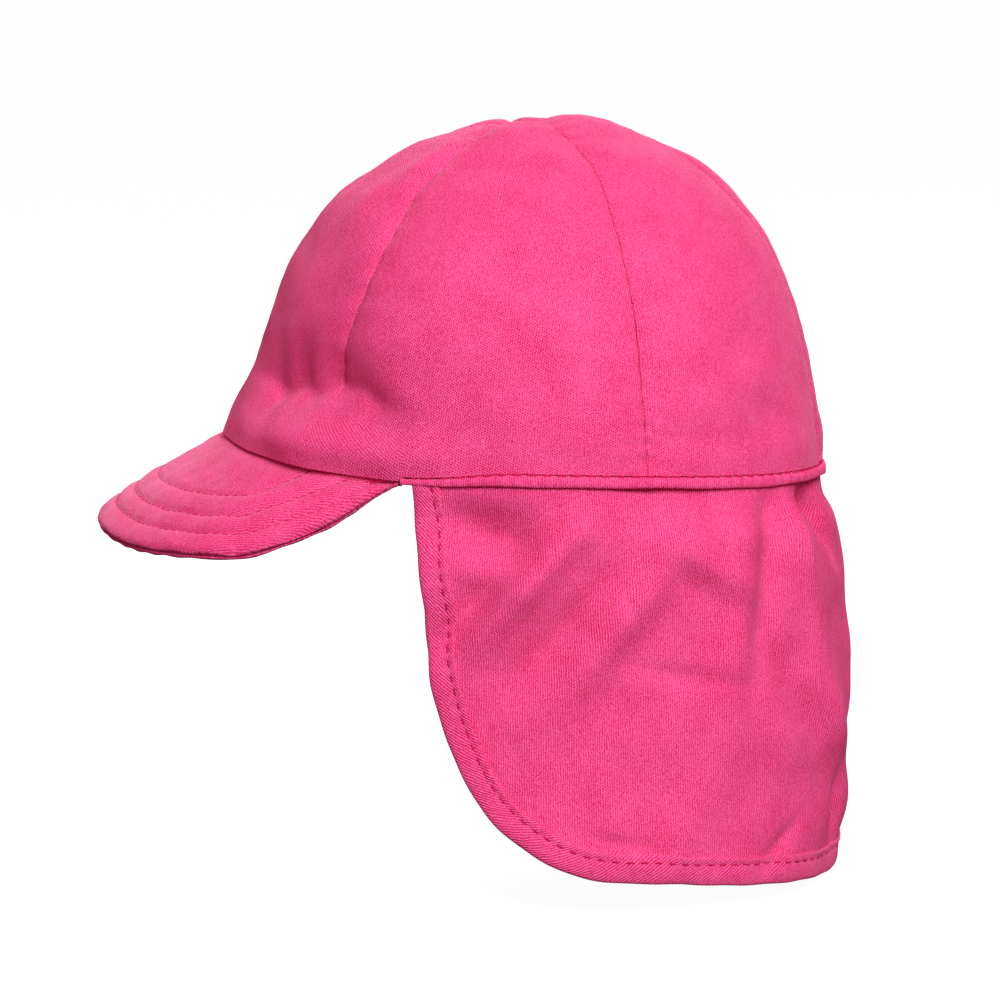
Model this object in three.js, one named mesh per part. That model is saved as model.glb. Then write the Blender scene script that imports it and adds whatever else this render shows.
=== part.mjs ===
// A small child's legionnaire cap in cotton knit: a six-panel crown, a soft quilted peak and a bound neck flap.
// Millimetres. +Z is up, the peak points along -Y, and the wearer's left is +X.
// Angles go round the head in degrees, from 0 at the forehead to 90 at the left ear and 180 at the nape.
// The origin is the centre of the head opening, level with the rim at the ears.
import * as THREE from "three";

// Head opening, over the outside of the crown
const HEAD_LENGTH = 170;
const HEAD_WIDTH = 142;
const RIM_FRONT_RISE = 6; // the rim at the forehead, above the ears
const RIM_BACK_DROP = 3.5; // the rim at the nape, below the ears

// Crown
const CROWN_HEIGHT = 95.5; // from the ears to the top
const CROWN_CLOTH = 1.5;
const FRONT_SEAM_ANGLE = 57;
const BACK_SEAM_ANGLE = 121.5;
const SEAM_GAP = 0.3; // between sewn pieces
const SEAM_DEPTH = 0.9; // how far a seam draws the cloth in
const SEAM_WIDTH = 4;
const DIMPLE_DEPTH = 3.2; // where the seams meet at the top
const DIMPLE_RADIUS = 9;
const TIP_RADIUS = 1; // where the panels' tips stop short of the centre

// Rolled hem under the crown, above the flap
const HEM_HEIGHT = 3.4;
const HEM_THICKNESS = 2.2;
const HEM_PROUD = 0.6; // past the crown's outside
const HEM_STEP = 1; // degrees over which the crown's edge rises from the peak's seam to the hem

// Peak
const PEAK_SEAM_ANGLE = 75; // from the forehead to each end of the peak
const PEAK_REACH = 37; // forward of the forehead
const PEAK_DROP = 28; // its deepest edge, below its seam
const PEAK_PAD = 2.1; // quilted upper layer
const PEAK_FACING = 1; // under layer
const PEAK_EDGE_ROUND = 2.6;
const PEAK_TUCK = 0.8; // how far its seam edge lies under the crown
const PEAK_TIP = 1.4; // width at each end
const QUILT_ROWS = 3;
const QUILT_FIRST = 7; // in from the edge
const QUILT_SPACING = 5.6;
const QUILT_DEPTH = 0.8;
const QUILT_WIDTH = 1.6;

// Neck flap
const FLAP_START_ANGLE = 77; // from the forehead to the flap's front edge
const FLAP_LENGTH = 108.5; // at the ears
const FLAP_NAPE_DIP = 3; // how much longer it is at the nape
const FLAP_CLOTH = 1.2;
const FLAP_FLARE = 7; // how far the flap stands out past the rim at the nape
const FLAP_EDGE_LEAN = 4.4; // the front edge falls back by this
const CORNER_WIDTH = 56.5;
const CORNER_HEIGHT = 74.5;
const FLAP_TUCK = 0.6; // how far its outside lies behind the crown's, where it meets the hem
const FLAP_EMERGES = 14; // the drop over which it comes out from there

// Binding round the flap's free edge
const BINDING_WIDTH = 8;
const BINDING_CLOTH = 1;

// Crown sections from the rim to the top. Height is a share of the way from the rim to the top;
// front, side and back are shares of the half length and half width at the rim.
const CROWN_SECTIONS = [
  { height: 0.0, front: 1.0, side: 1.0, back: 1.0 },
  { height: 0.12, front: 0.945, side: 1.0, back: 0.995 },
  { height: 0.26, front: 0.885, side: 0.985, back: 0.965 },
  { height: 0.42, front: 0.825, side: 0.945, back: 0.925 },
  { height: 0.58, front: 0.745, side: 0.865, back: 0.855 },
  { height: 0.73, front: 0.63, side: 0.75, back: 0.755 },
  { height: 0.86, front: 0.45, side: 0.57, back: 0.605 },
  { height: 0.95, front: 0.255, side: 0.35, back: 0.4 },
  { height: 0.99, front: 0.12, side: 0.17, back: 0.21 },
  { height: 1.0, front: 0.0, side: 0.0, back: 0.0 },
];

// Dents and bulges of the crown. Angle and spread are in degrees, height and tall are shares of the
// crown's height, and depth is a share of it too, inward where it is above 0.
const CROWN_DENTS = [
  { angle: 58, height: 0.25, spread: 15, tall: 0.11, depth: 0.045 },
  { angle: 36, height: 0.21, spread: 12, tall: 0.09, depth: 0.02 },
  { angle: -55, height: 0.25, spread: 16, tall: 0.1, depth: 0.036 },
  { angle: 52, height: 0.12, spread: 24, tall: 0.055, depth: -0.016 },
  { angle: -46, height: 0.12, spread: 24, tall: 0.06, depth: -0.012 },
  { angle: 149, height: 0.41, spread: 9, tall: 0.07, depth: 0.015 },
  { angle: 155, height: 0.19, spread: 8, tall: 0.06, depth: 0.014 },
  { angle: 136, height: 0.13, spread: 10, tall: 0.05, depth: 0.01 },
  { angle: -150, height: 0.33, spread: 11, tall: 0.08, depth: 0.014 },
  { angle: 165, height: 1.0, spread: 50, tall: 0.04, depth: -0.02 },
];

// Outer edge of the peak, from its middle to its end. Forward and spread are shares of the peak's
// reach, and drop is a share of its deepest drop, all from the seam point on the same row.
const PEAK_SECTIONS = [
  { forward: 1.0, spread: 0.0, drop: 0.79 },
  { forward: 0.96, spread: 0.16, drop: 0.82 },
  { forward: 0.88, spread: 0.28, drop: 0.83 },
  { forward: 0.76, spread: 0.36, drop: 0.81 },
  { forward: 0.53, spread: 0.34, drop: 0.74 },
  { forward: 0.0, spread: 0.0, drop: 0.0 },
];

// How far the flap stands out from the rim, from its top to its hem, as shares of the flare.
const FLAP_SECTIONS = [
  { side: 0.0, back: 0.0 },
  { side: 0.12, back: 0.5 },
  { side: 0.1, back: 0.76 },
  { side: 0.05, back: 0.9 },
  { side: 0.1, back: 1.0 },
  { side: 0.25, back: 1.0 },
  { side: 0.45, back: 1.0 },
  { side: 0.65, back: 0.9 },
  { side: 0.8, back: 0.62 },
];

// Folds of the flap. Along is a share of its width from the wearer's left edge; drop, length, width and
// rise are shares of its length, outward where rise is above 0; lean turns the fold's line from upright
// towards the nape at its lower end, in degrees.
const FLAP_FOLDS = [
  { along: 0.075, drop: 0.08, lean: 75, length: 0.26, width: 0.05, rise: -0.026 },
  { along: 0.06, drop: 0.18, lean: 80, length: 0.3, width: 0.06, rise: 0.018 },
  { along: 0.115, drop: 0.2, lean: -32, length: 0.46, width: 0.055, rise: 0.018 },
  { along: 0.16, drop: 0.26, lean: -32, length: 0.4, width: 0.055, rise: -0.018 },
  { along: 0.19, drop: 0.36, lean: -36, length: 0.5, width: 0.065, rise: 0.018 },
  { along: 0.24, drop: 0.43, lean: -36, length: 0.44, width: 0.06, rise: -0.018 },
  { along: 0.29, drop: 0.2, lean: 58, length: 0.3, width: 0.05, rise: 0.016 },
  { along: 0.37, drop: 0.3, lean: 4, length: 0.7, width: 0.06, rise: 0.022 },
  { along: 0.42, drop: 0.36, lean: 8, length: 0.6, width: 0.06, rise: -0.02 },
  { along: 0.46, drop: 0.66, lean: 34, length: 0.5, width: 0.06, rise: 0.018 },
  { along: 0.56, drop: 0.34, lean: -6, length: 0.6, width: 0.06, rise: 0.016 },
  { along: 0.63, drop: 0.42, lean: -10, length: 0.7, width: 0.06, rise: -0.018 },
  { along: 0.74, drop: 0.5, lean: 22, length: 0.6, width: 0.07, rise: 0.018 },
  { along: 0.86, drop: 0.34, lean: 14, length: 0.5, width: 0.06, rise: -0.018 },
];

// Facets
const PANEL_COLUMNS = 10;
const PANEL_ROWS = 14;
const PEAK_COLUMNS = 36;
const PEAK_ROWS = 10;
const HEM_STEPS = 44;
const FLAP_COLUMNS = 50;
const FLAP_ROWS = 14;

const rad = THREE.MathUtils.degToRad;
const { lerp, clamp, smoothstep } = THREE.MathUtils;
const vec = (x, y, z) => new THREE.Vector3(x, y, z);
const bell = (x) => Math.exp(-x * x);

// The value of a table's column at a share of the way down its rows, on a smooth curve through them.
function columnAt(rows, column, share) {
  const last = rows.length - 1;
  const place = clamp(share, 0, 1) * last;
  const row = Math.min(Math.floor(place), last - 1);
  const [a, b, c, d] = [-1, 0, 1, 2].map((step) => rows[clamp(row + step, 0, last)][column]);
  const f = place - row;
  return b + (f / 2) * (c - a + f * (2 * a - 5 * b + 4 * c - d + f * (3 * (b - c) + d - a)));
}

// A closed wall between two faces, each a function of the shares across and along.
function wallGeometry(columns, rows, face, backFace) {
  const points = [];
  for (const side of [face, backFace])
    for (let j = 0; j <= rows; j++)
      for (let i = 0; i <= columns; i++) points.push(...side(i / columns, j / rows).toArray());
  const at = (layer, i, j) => (layer * (rows + 1) + j) * (columns + 1) + i;
  const triangles = [];
  const quad = (a, b, c, d) => triangles.push(a, b, c, a, c, d);
  for (let j = 0; j < rows; j++)
    for (let i = 0; i < columns; i++) {
      quad(at(0, i, j), at(0, i + 1, j), at(0, i + 1, j + 1), at(0, i, j + 1));
      quad(at(1, i, j), at(1, i, j + 1), at(1, i + 1, j + 1), at(1, i + 1, j));
    }
  for (let i = 0; i < columns; i++) {
    quad(at(0, i, 0), at(1, i, 0), at(1, i + 1, 0), at(0, i + 1, 0));
    quad(at(0, i, rows), at(0, i + 1, rows), at(1, i + 1, rows), at(1, i, rows));
  }
  for (let j = 0; j < rows; j++) {
    quad(at(0, 0, j), at(0, 0, j + 1), at(1, 0, j + 1), at(1, 0, j));
    quad(at(0, columns, j), at(1, columns, j), at(1, columns, j + 1), at(0, columns, j + 1));
  }
  return facingOut(points, triangles);
}

// A closed bar: one section, a ring of [x, y] points, placed by ringPoint at each step of its path.
function barGeometry(section, steps, ringPoint) {
  const count = section.length;
  const points = [];
  for (let k = 0; k <= steps; k++)
    for (const [x, y] of section) points.push(...ringPoint(k / steps, x, y).toArray());
  const triangles = [];
  for (let k = 0; k < steps; k++)
    for (let i = 0; i < count; i++) {
      const [a, b] = [k * count + i, k * count + ((i + 1) % count)];
      triangles.push(a, b, b + count, a, b + count, a + count);
    }
  const cap = THREE.ShapeUtils.triangulateShape(section.map(([x, y]) => new THREE.Vector2(x, y)), []);
  const end = steps * count;
  for (const [a, b, c] of cap) triangles.push(a, c, b, end + a, end + b, end + c);
  return facingOut(points, triangles);
}

// A geometry from a closed surface, with its triangles turned to face out.
function facingOut(points, triangles) {
  const corner = (k) => vec(...points.slice(3 * triangles[k], 3 * triangles[k] + 3));
  let volume = 0;
  for (let k = 0; k < triangles.length; k += 3)
    volume += corner(k).dot(corner(k + 1).cross(corner(k + 2)));
  if (volume < 0) triangles.reverse();
  const geometry = new THREE.BufferGeometry();
  geometry.setAttribute("position", new THREE.Float32BufferAttribute(points, 3));
  geometry.setIndex(triangles);
  geometry.computeVertexNormals();
  return geometry;
}

// Height of the rim at an angle.
function rimHeight(angle) {
  const forward = Math.cos(rad(angle));
  return (forward > 0 ? RIM_FRONT_RISE : -RIM_BACK_DROP) * forward * forward;
}

// The rim's outer line, moved outward by offset.
function rimPoint(angle, offset = 0) {
  const [sin, cos] = [Math.sin(rad(angle)), Math.cos(rad(angle))];
  const out = vec(sin / HEAD_WIDTH, -cos / HEAD_LENGTH, 0).normalize();
  return vec((HEAD_WIDTH / 2) * sin, (-HEAD_LENGTH / 2) * cos, rimHeight(angle)).addScaledVector(out, offset);
}

// A stretch of the rim's outer line, between two angles.
class RimLine extends THREE.Curve {
  constructor(from, to) {
    super();
    this.from = from;
    this.to = to;
  }
  getPoint(share) {
    return rimPoint(lerp(this.from, this.to, share));
  }
}

// Crown: six panels sewn edge to edge, domed and a little dented.

const SEAM_ANGLES = [0, FRONT_SEAM_ANGLE, BACK_SEAM_ANGLE, 180, -BACK_SEAM_ANGLE, -FRONT_SEAM_ANGLE];

function angleBetween(a, b) {
  return Math.abs(THREE.MathUtils.euclideanModulo(a - b + 180, 360) - 180);
}

// The crown's lower edge: at the peak's seam in front, and stepping up over the hem behind it.
function crownFoot(angle) {
  const step = clamp((angleBetween(angle, 0) - PEAK_SEAM_ANGLE) / HEM_STEP + 1, 0, 1);
  return rimHeight(angle) + step * (HEM_HEIGHT + SEAM_GAP);
}

// A point of the crown's outside, moved outward by offset. Share runs from the rim to the top.
function crownPoint(angle, share, offset = 0) {
  const [sin, cos] = [Math.sin(rad(angle)), Math.cos(rad(angle))];
  const halfLength = (HEAD_LENGTH / 2) * columnAt(CROWN_SECTIONS, cos > 0 ? "front" : "back", share);
  const halfWidth = (HEAD_WIDTH / 2) * columnAt(CROWN_SECTIONS, "side", share);
  const foot = crownFoot(angle);
  const height = columnAt(CROWN_SECTIONS, "height", share);
  const point = vec(halfWidth * sin, -halfLength * cos, lerp(foot, CROWN_HEIGHT, height));
  const out = vec(
    point.x / HEAD_WIDTH ** 2,
    point.y / HEAD_LENGTH ** 2,
    Math.max(point.z, 0) / (2 * CROWN_HEIGHT) ** 2,
  ).normalize();

  const radius = Math.hypot(point.x, point.y);
  const nearestSeam = Math.min(...SEAM_ANGLES.map((seam) => rad(angleBetween(angle, seam)) * radius));
  let inward = SEAM_DEPTH * bell(nearestSeam / SEAM_WIDTH) + DIMPLE_DEPTH * bell(radius / DIMPLE_RADIUS);
  for (const dent of CROWN_DENTS)
    inward +=
      dent.depth *
      CROWN_HEIGHT *
      bell(angleBetween(angle, dent.angle) / dent.spread) *
      bell((height - dent.height) / dent.tall);
  return point.addScaledVector(out, offset - inward);
}

// A panel between two seams, its edges half a seam gap short of each.
function panelGeometry(fromSeam, toSeam) {
  const steps = [PEAK_SEAM_ANGLE - HEM_STEP, PEAK_SEAM_ANGLE].flatMap((angle) => [angle, -angle]);
  const angles = [...steps.filter((angle) => angle > fromSeam && angle < toSeam)];
  for (let i = 0; i <= PANEL_COLUMNS; i++) angles.push(lerp(fromSeam, toSeam, i / PANEL_COLUMNS));
  angles.sort((a, b) => a - b);
  const columns = angles.length - 1;
  const face = (offset) => (across, along) => {
    const angle = angles[Math.round(across * columns)];
    const top = 1 - TIP_RADIUS / (HEAD_WIDTH / 2);
    const share = along * top;
    const radius = Math.max(
      (HEAD_WIDTH / 2) * columnAt(CROWN_SECTIONS, "side", share),
      TIP_RADIUS,
    );
    const inset = THREE.MathUtils.radToDeg(SEAM_GAP / 2 / radius);
    return crownPoint(clamp(angle, fromSeam + inset, toSeam - inset), share, offset);
  };
  return wallGeometry(columns, PANEL_ROWS, face(0), face(-CROWN_CLOTH));
}

// Rolled hem: the crown's turned-up edge, from one end of the peak round the nape to the other.
function hemGeometry() {
  const [inner, outer] = [HEM_PROUD - HEM_THICKNESS, HEM_PROUD];
  const round = HEM_THICKNESS / 3;
  const section = [
    [inner, 0],
    [outer - round, 0],
    [outer, round],
    [outer, HEM_HEIGHT - round],
    [outer - round, HEM_HEIGHT],
    [inner, HEM_HEIGHT],
  ];
  const ends = PEAK_SEAM_ANGLE + 0.5;
  const ringPoint = (share, x, y) => {
    const point = rimPoint(lerp(ends, 360 - ends, share), x);
    return point.setZ(point.z + y);
  };
  return barGeometry(section, HEM_STEPS, ringPoint);
}

// Neck flap: a hanging sheet laid out flat as (along, drop), along the rim and down from it.
const flapRim = new RimLine(FLAP_START_ANGLE, 360 - FLAP_START_ANGLE);
flapRim.arcLengthDivisions = 400;
const FLAP_WIDTH = flapRim.getLength();

// The flap's mid surface.
function flapPoint(along, drop) {
  const share = clamp(along / FLAP_WIDTH, 0, 1);
  const angle = lerp(flapRim.from, flapRim.to, flapRim.getUtoTmapping(share));
  const towardsNape = smoothstep(180 - Math.abs(angle - 180), 105, 165);
  const fall = drop / FLAP_LENGTH;
  const flare = lerp(
    columnAt(FLAP_SECTIONS, "side", fall),
    columnAt(FLAP_SECTIONS, "back", fall),
    towardsNape,
  );
  const emerged = smoothstep(drop, 0, FLAP_EMERGES);
  let out = FLAP_FLARE * flare * emerged - (FLAP_TUCK + FLAP_CLOTH / 2) * (1 - emerged);
  for (const fold of FLAP_FOLDS) {
    const [sin, cos] = [Math.sin(rad(fold.lean)), Math.cos(rad(fold.lean))];
    const dx = along - fold.along * FLAP_WIDTH;
    const dy = drop - fold.drop * FLAP_LENGTH;
    const lengthwise = (dx * sin + dy * cos) / (fold.length * FLAP_LENGTH);
    const crosswise = (dx * cos - dy * sin) / (fold.width * FLAP_LENGTH);
    out += fold.rise * FLAP_LENGTH * bell(crosswise) * bell(2 * lengthwise) * emerged;
  }
  const beyond = along - share * FLAP_WIDTH;
  const point = rimPoint(angle, out);
  const run = rimPoint(angle + 0.5).sub(rimPoint(angle - 0.5)).setZ(0).normalize();
  return point.addScaledVector(run, beyond).setZ(point.z - SEAM_GAP - drop);
}

// A point off the flap's mid surface, moved outward by offset.
function flapOffset(along, drop, offset) {
  const step = 0.5;
  const run = flapPoint(along + step, drop).sub(flapPoint(along - step, drop));
  const fall = flapPoint(along, drop + step).sub(flapPoint(along, Math.max(drop - step, 0)));
  return flapPoint(along, drop).addScaledVector(fall.cross(run).normalize(), offset);
}

// The finished edge of the flap's left half, from the rim down its front edge and along to the nape.
const flapEdge = new THREE.Path();
flapEdge.moveTo(0, 0);
flapEdge.quadraticCurveTo(
  FLAP_EDGE_LEAN / 2,
  (FLAP_LENGTH - CORNER_HEIGHT) / 2,
  FLAP_EDGE_LEAN,
  FLAP_LENGTH - CORNER_HEIGHT,
);
flapEdge.absellipse(
  FLAP_EDGE_LEAN + CORNER_WIDTH,
  FLAP_LENGTH - CORNER_HEIGHT,
  CORNER_WIDTH,
  CORNER_HEIGHT,
  Math.PI,
  Math.PI / 2,
  true,
);
flapEdge.bezierCurveTo(
  lerp(FLAP_EDGE_LEAN + CORNER_WIDTH, FLAP_WIDTH / 2, 0.4),
  FLAP_LENGTH,
  lerp(FLAP_EDGE_LEAN + CORNER_WIDTH, FLAP_WIDTH / 2, 0.6),
  FLAP_LENGTH + FLAP_NAPE_DIP,
  FLAP_WIDTH / 2,
  FLAP_LENGTH + FLAP_NAPE_DIP,
);
const FRONT_EDGE_SHARE = flapEdge.curves[0].getLength() / flapEdge.getLength() / 2;

// A point inside the finished edge, at a share of the way round the whole edge and a distance in.
function insideEdge(share, inward) {
  const half = 1 - Math.abs(1 - 2 * share);
  const point = flapEdge.getPointAt(half);
  const tangent = flapEdge.getTangentAt(half);
  point.x += tangent.y * inward;
  point.y -= tangent.x * inward;
  if (share > 0.5) point.x = FLAP_WIDTH - point.x;
  point.y = Math.max(point.y, 0); // the top stays level under the hem
  return point;
}

// The same stations serve the flap's border and its binding: down one front edge, along the foot, up the other.
const edgeStations = [];
for (let k = 0; k < FLAP_ROWS; k++) edgeStations.push((FRONT_EDGE_SHARE * k) / FLAP_ROWS);
for (let k = 0; k <= FLAP_COLUMNS; k++)
  edgeStations.push(lerp(FRONT_EDGE_SHARE, 1 - FRONT_EDGE_SHARE, k / FLAP_COLUMNS));
for (let k = FLAP_ROWS - 1; k >= 0; k--) edgeStations.push(1 - (FRONT_EDGE_SHARE * k) / FLAP_ROWS);

// The flap stops short of its binding. Its grid is blended between its straight top and its border.
function flapGeometry() {
  const border = edgeStations.map((share) => insideEdge(share, BINDING_WIDTH + SEAM_GAP));
  const end = border.length - 1;
  const grid = (across, along) => {
    const column = Math.round(across * FLAP_COLUMNS);
    const row = Math.round(along * FLAP_ROWS);
    const top = border[0].clone().lerp(border[end], across);
    const foot = border[FLAP_ROWS + column];
    const sides = border[row].clone().lerp(border[end - row], across);
    const corners = border[FLAP_ROWS].clone().lerp(border[end - FLAP_ROWS], across);
    return top.clone().lerp(foot, along).add(sides).sub(top.lerp(corners, along));
  };
  const face = (offset) => (across, along) => {
    const spot = grid(across, along);
    return flapOffset(spot.x, spot.y, offset);
  };
  return wallGeometry(FLAP_COLUMNS, FLAP_ROWS, face(FLAP_CLOTH / 2), face(-FLAP_CLOTH / 2));
}

// Binding: a folded strip round the flap's free edge, a cloth's thickness proud of it inside and out.
function bindingGeometry() {
  const half = FLAP_CLOTH / 2 + BINDING_CLOTH;
  const section = [
    [BINDING_CLOTH - half, 0],
    [half - BINDING_CLOTH, 0],
    [half, BINDING_CLOTH],
    [half, BINDING_WIDTH],
    [-half, BINDING_WIDTH],
    [-half, BINDING_CLOTH],
  ];
  const steps = edgeStations.length - 1;
  const ringPoint = (share, x, y) => {
    const spot = insideEdge(edgeStations[Math.round(share * steps)], y);
    return flapOffset(spot.x, spot.y, x);
  };
  return barGeometry(section, steps, ringPoint);
}

// Peak: a padded, quilted upper layer over a thin facing, fanned out from the crown's front rim.

// Its seam, tucked under the crown, from one end to the other.
function peakSeam(across) {
  const point = rimPoint(PEAK_SEAM_ANGLE * across, -PEAK_TUCK);
  return point.setZ(point.z - SEAM_GAP);
}

function peakEdge(across) {
  const from = Math.abs(across);
  const point = peakSeam(across);
  point.x += Math.sign(across) * PEAK_REACH * columnAt(PEAK_SECTIONS, "spread", from);
  point.y -= PEAK_REACH * columnAt(PEAK_SECTIONS, "forward", from) + PEAK_TIP;
  point.z -= PEAK_DROP * columnAt(PEAK_SECTIONS, "drop", from);
  return point;
}

const peakEdgeLine = Array.from({ length: 121 }, (_, k) => peakEdge(k / 60 - 1));

// The peak's upper surface before it is quilted. Along runs from the seam to the edge.
function peakSurface(across, along) {
  return peakSeam(across).lerp(peakEdge(across), along);
}

function peakNormal(across, along) {
  const step = 0.01;
  const side = peakSurface(across + step, along).sub(peakSurface(across - step, along));
  const forward = peakSurface(across, along + step).sub(peakSurface(across, along - step));
  return forward.cross(side).normalize();
}

// How far the cloth sinks below the surface, at the quilting rows and round the edge.
function peakSink(point) {
  const fromEdge = Math.min(...peakEdgeLine.map((edge) => edge.distanceTo(point)));
  const turn = clamp(1 - fromEdge / PEAK_EDGE_ROUND, 0, 1);
  let sink = (PEAK_EDGE_ROUND / 2) * turn * turn;
  for (let row = 0; row < QUILT_ROWS; row++)
    sink += QUILT_DEPTH * bell((fromEdge - QUILT_FIRST - row * QUILT_SPACING) / QUILT_WIDTH);
  return sink;
}

// A layer of the peak between two depths under its surface.
function peakLayer(upper, lower, quilted) {
  const face = (depth, sinks) => (i, j) => {
    const across = lerp(-1, 1, i);
    const point = peakSurface(across, j);
    const sink = sinks ? peakSink(point) : 0;
    return point.addScaledVector(peakNormal(across, j), -(depth + sink));
  };
  return wallGeometry(PEAK_COLUMNS, PEAK_ROWS, face(upper, quilted), face(lower, false));
}

const knit = new THREE.MeshStandardMaterial({ color: 0xf0448a, roughness: 0.95, metalness: 0 });
const bindingKnit = new THREE.MeshStandardMaterial({ color: 0xe83f84, roughness: 0.95, metalness: 0 });

const cap = new THREE.Group();
function add(name, geometry, material = knit) {
  const mesh = new THREE.Mesh(geometry, material.clone());
  mesh.name = name;
  cap.add(mesh);
}

const PANELS = [
  { name: "front", from: 0, to: FRONT_SEAM_ANGLE },
  { name: "side", from: FRONT_SEAM_ANGLE, to: BACK_SEAM_ANGLE },
  { name: "back", from: BACK_SEAM_ANGLE, to: 180 },
];
for (const { name, from, to } of PANELS) {
  add(`crown_panel_${name}_left`, panelGeometry(from, to));
  add(`crown_panel_${name}_right`, panelGeometry(-to, -from));
}
add("rim_hem", hemGeometry());
add("neck_flap", flapGeometry());
add("flap_binding", bindingGeometry(), bindingKnit);
add("peak_top", peakLayer(0, PEAK_PAD, true));
add("peak_facing", peakLayer(PEAK_PAD + SEAM_GAP, PEAK_PAD + SEAM_GAP + PEAK_FACING, false));

export default cap;
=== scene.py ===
import math

import bpy
import numpy as np
from mathutils import Matrix, Vector


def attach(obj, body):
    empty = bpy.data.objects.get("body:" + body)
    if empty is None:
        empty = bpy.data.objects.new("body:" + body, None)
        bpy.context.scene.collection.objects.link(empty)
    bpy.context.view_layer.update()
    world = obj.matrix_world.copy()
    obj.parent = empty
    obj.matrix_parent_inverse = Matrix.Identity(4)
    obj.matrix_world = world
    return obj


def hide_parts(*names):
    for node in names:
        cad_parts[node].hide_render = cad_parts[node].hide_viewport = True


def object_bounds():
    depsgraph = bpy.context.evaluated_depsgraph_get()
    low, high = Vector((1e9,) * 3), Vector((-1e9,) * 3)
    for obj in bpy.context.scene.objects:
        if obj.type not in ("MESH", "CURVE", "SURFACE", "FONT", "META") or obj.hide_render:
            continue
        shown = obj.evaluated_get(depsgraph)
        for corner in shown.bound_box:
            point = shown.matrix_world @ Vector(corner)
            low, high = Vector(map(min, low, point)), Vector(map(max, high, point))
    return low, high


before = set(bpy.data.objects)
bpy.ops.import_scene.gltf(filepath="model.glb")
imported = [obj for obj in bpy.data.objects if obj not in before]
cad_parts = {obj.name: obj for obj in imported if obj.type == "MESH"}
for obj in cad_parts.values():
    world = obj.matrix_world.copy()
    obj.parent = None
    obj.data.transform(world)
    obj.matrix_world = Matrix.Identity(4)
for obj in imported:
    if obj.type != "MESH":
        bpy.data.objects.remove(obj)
cad_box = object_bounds()

# View
# A long lens on the wearer's left, a little above the rim. The cap sits just right of the middle.
VIEW_AZIMUTH = 99.5
VIEW_ELEVATION = 8
VIEW_DISTANCE = 1.3
VIEW_WIDTH = 0.283  # what the picture takes in at the cap
ORIGIN_RIGHT = 0.0061  # of the picture's middle
ORIGIN_UP = 0.0133


def direction(azimuth, elevation):
    """From the cap towards a place, given in degrees round from the front and up."""
    a, e = math.radians(azimuth), math.radians(elevation)
    return Vector((math.sin(a) * math.cos(e), -math.cos(a) * math.cos(e), math.sin(e)))


view_back = direction(VIEW_AZIMUTH, VIEW_ELEVATION)
view_right = direction(VIEW_AZIMUTH + 90, 0)
view_up = view_back.cross(view_right)
camera_data = bpy.data.cameras.new("camera")
camera_data.sensor_width = 36
camera_data.lens = camera_data.sensor_width * VIEW_DISTANCE / VIEW_WIDTH
camera_data.clip_end = 50
camera = bpy.data.objects.new("camera", camera_data)
camera.location = view_back * VIEW_DISTANCE - view_right * ORIGIN_RIGHT - view_up * ORIGIN_UP
camera.rotation_euler = Matrix((view_right, view_up, view_back)).transposed().to_euler()
bpy.context.scene.collection.objects.link(camera)
bpy.context.scene.camera = camera

# Crown panels
# Six panels of brushed cotton jersey, cut to a point at the top and sewn together on the inside. Each
# seam pulls the cloth into a thin groove with small puckers beside it. Lengths are in millimetres, and
# angles in degrees, from 0 at the forehead to 90 at the wearer's left ear.
MM = 0.001
HEAD_LENGTH = 170
HEAD_WIDTH = 142
RIM_FRONT_RISE = 6
RIM_BACK_DROP = 4.3
CROWN_HEIGHT = 95.5
CROWN_CLIMB = 1.35 * CROWN_HEIGHT  # length of the cloth from the hem to the top
CROWN_CLOTH = 1.5
FRONT_SEAM_ANGLE = 57
BACK_SEAM_ANGLE = 121.5
SEAM_DEPTH = 0.9
SEAM_WIDTH = 4
SEAM_CREASE_DEPTH = 0.5
SEAM_CREASE_WIDTH = 1.5
SEAM_ROLL = 0.75  # radius of a panel's turned edge
SEAM_FLAT_BELOW = 0.24  # share of the crown's height below which the front seams are stretched flat
SEAM_FLAT_EASE = 0.06
SEAM_FLAT_SHARE = 0.85  # how much of their depth they lose there
FRONT_SEAM_SPREAD = 20  # degrees round the front seams that this and their straying reach
SEAM_FOOT_SHARE = 0.35  # how much of its depth a seam has at the hem
SEAM_FOOT_EASE = 0.04
SEAM_INSETS = np.array([0.05, 0.12, 0.25, 0.45, 0.8, 1.3])  # of a panel's points beside a seam
SEAM_MEETING = 0.004  # from a seam to each panel's inside face, so that no light shows through
PUCKER_HEIGHT = 0.24
PUCKER_PITCH = 6.5
PUCKER_REACH = 5
PUCKER_STAGGER = 1.9  # so that the puckers don't lie level all round the crown
PUCKER_DISORDER = 1.3
CLOTH_UNEVEN = [(0.28, 34, 11), (0.1, 13, 12)]  # height, size and seed of the cloth's soft waves
DIMPLE_DEPTH = 3.2
DIMPLE_RADIUS = 9
TIP_RADIUS = 0.6
PEAK_SEAM_ANGLE = 75
HEM_HEIGHT = 3.4
HEM_STEP = 0.3
HEM_BOTTOM = 0.2  # above the rim's own line
HEM_START_DROP = 0.9  # how much lower it starts at the peak's end
HEM_START = 0.6  # share of its height there
HEM_GROWN = 98  # degrees, where it has its full height
CROWN_FOOT_GAP = 0.05
OVER_HEM = 0.15  # share of the crown's height that is raised to clear the hem
CROWN_FOOT_ROLL = 0.9  # radius of the crown's turned lower edge
FOOT_STEPS = np.array([0, 0.08, 0.2, 0.4, 0.65, 0.95])
PANEL_ROWS = 130
PANEL_COLUMNS = 74

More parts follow.
